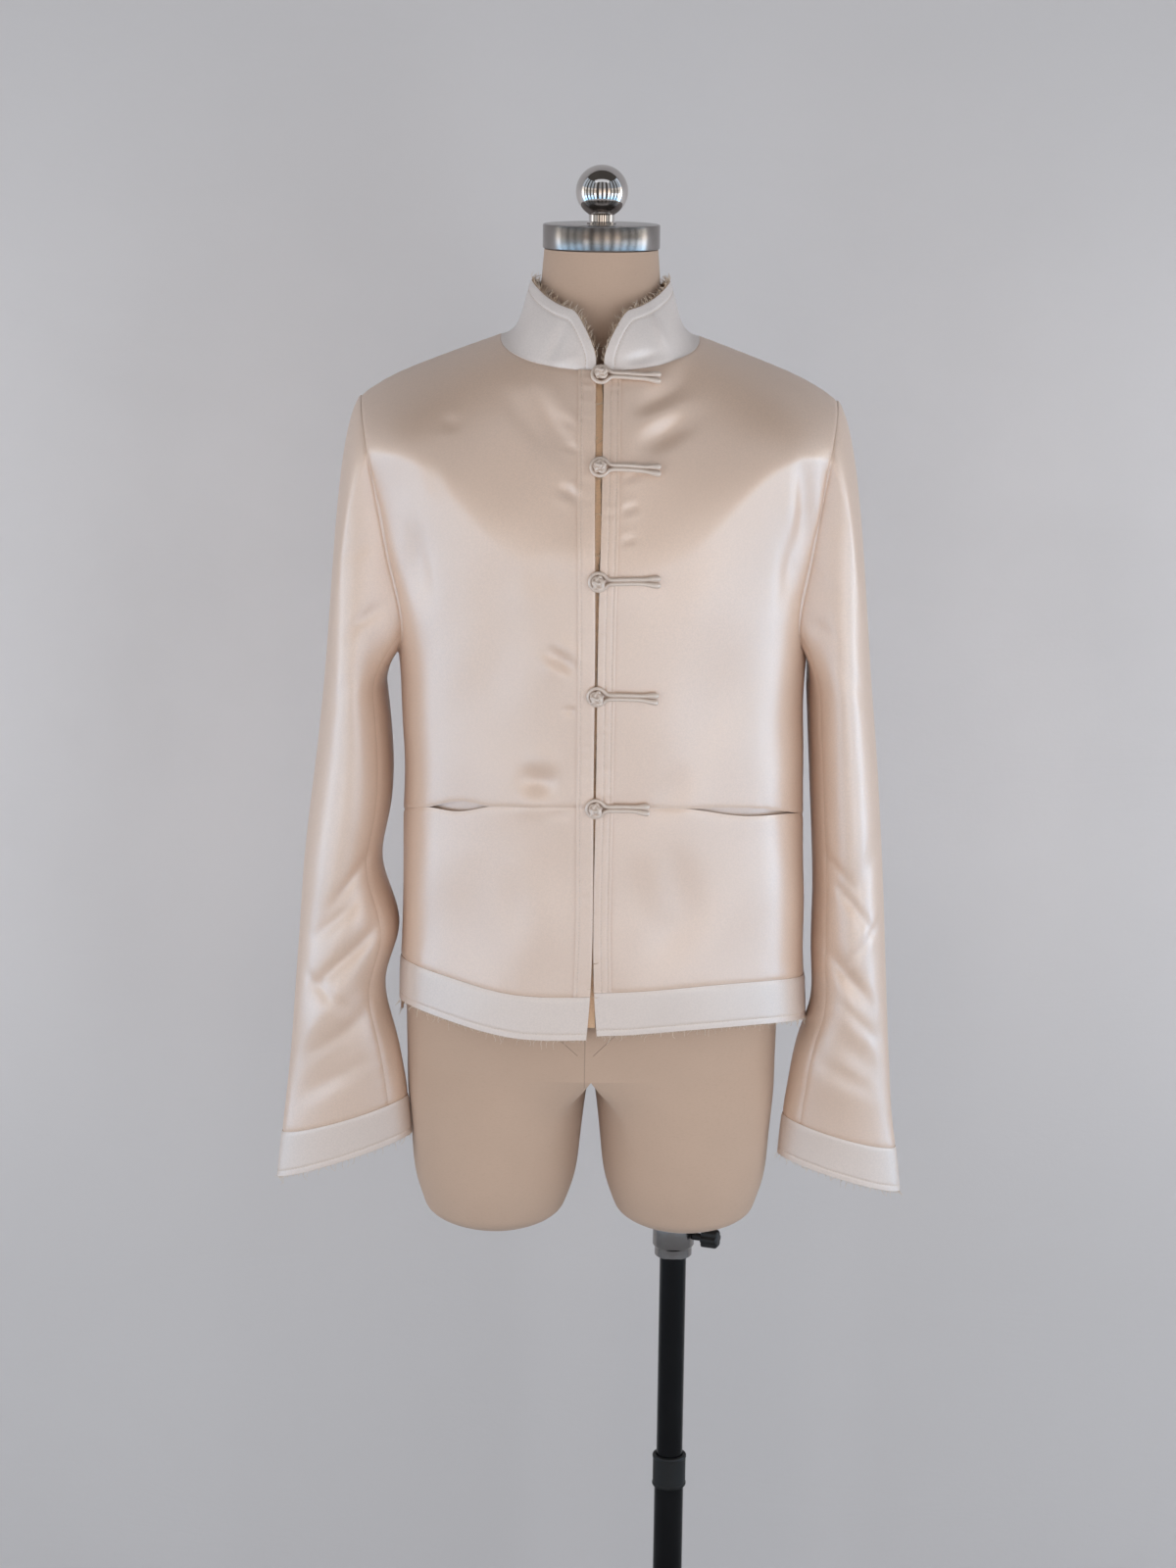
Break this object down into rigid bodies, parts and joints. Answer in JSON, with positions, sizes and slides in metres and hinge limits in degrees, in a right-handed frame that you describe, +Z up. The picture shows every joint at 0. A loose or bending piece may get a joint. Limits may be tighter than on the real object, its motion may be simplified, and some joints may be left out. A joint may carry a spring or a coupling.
{
  "type": "tang jacket on a dress form with a stand",
  "caption": "Collared satin tang jacket fastened with cord frogs, worn by an armless dress form on a height-adjustable pole stand.",
  "frame": {"origin": "on the floor under the middle of the garment, in the plane of the base's underside", "axes": "+Z up, -Y the way the garment faces, +X towards the wearer's left"},
  "size_m": [0.5839, 0.38, 1.5598],
  "materials": {
    "satin": "champagne satin with a soft sheen",
    "frog_cord": "satin-covered cord",
    "form_linen": "matte beige linen stretched over the form",
    "brushed_steel": "turned, brushed",
    "chrome_ball": "mirror polished",
    "black_paint": "gloss black paint",
    "black_plastic": "matte"
  },
  "bodies": {
    "stand": {"base": "black_paint", "pole_outer": "black_paint"},
    "lock_ring": {"pole_lock_ring": "black_plastic"},
    "dressed_form": {"back": "satin", "collar": "satin", "cuff_left": "satin", "cuff_right": "satin", "finial": "chrome_ball", "form_body": "form_linen", "frog_knot_1": "frog_cord", "frog_knot_2": "frog_cord", "frog_knot_3": "frog_cord", "frog_knot_4": "frog_cord", "frog_knot_5": "frog_cord", "frog_loop_1": "frog_cord", "frog_loop_2": "frog_cord", "frog_loop_3": "frog_cord", "frog_loop_4": "frog_cord", "frog_loop_5": "frog_cord", "front_left_lower": "satin", "front_left_upper": "satin", "front_right_lower": "satin", "front_right_upper": "satin", "front_strip_left": "satin", "front_strip_right": "satin", "hem_band_back": "satin", "hem_band_left": "satin", "hem_band_right": "satin", "neck_cap": "brushed_steel", "pocket_facing_left": "satin", "pocket_facing_right": "satin", "pole_inner": "black_paint", "pole_socket": "brushed_steel", "sleeve_left_top_arm": "satin", "sleeve_left_top_forearm": "satin", "sleeve_left_under_arm": "satin", "sleeve_left_under_forearm": "satin", "sleeve_right_top_arm": "satin", "sleeve_right_top_forearm": "satin", "sleeve_right_under_arm": "satin", "sleeve_right_under_forearm": "satin"},
    "clamp_screw_body": {"clamp_screw": "black_plastic"}
  },
  "joints": [
    {"name": "height_slide", "type": "slide", "parent": "stand", "child": "dressed_form", "axis": [0, 0, 1], "range_m": [-0.07, 0.12]},
    {"name": "lock_ring_twist", "type": "hinge", "parent": "stand", "child": "lock_ring", "pos_m": [0.08, 0, 0.3265], "axis": [0, 0, 1], "range_deg": [-60, 60]},
    {"name": "clamp_screw_turn", "type": "hinge", "parent": "dressed_form", "child": "clamp_screw_body", "pos_m": [0.0988, -0.0068, 0.5654], "axis": [0.9397, -0.342, 0], "range_deg": [-180, 180]}
  ]
}
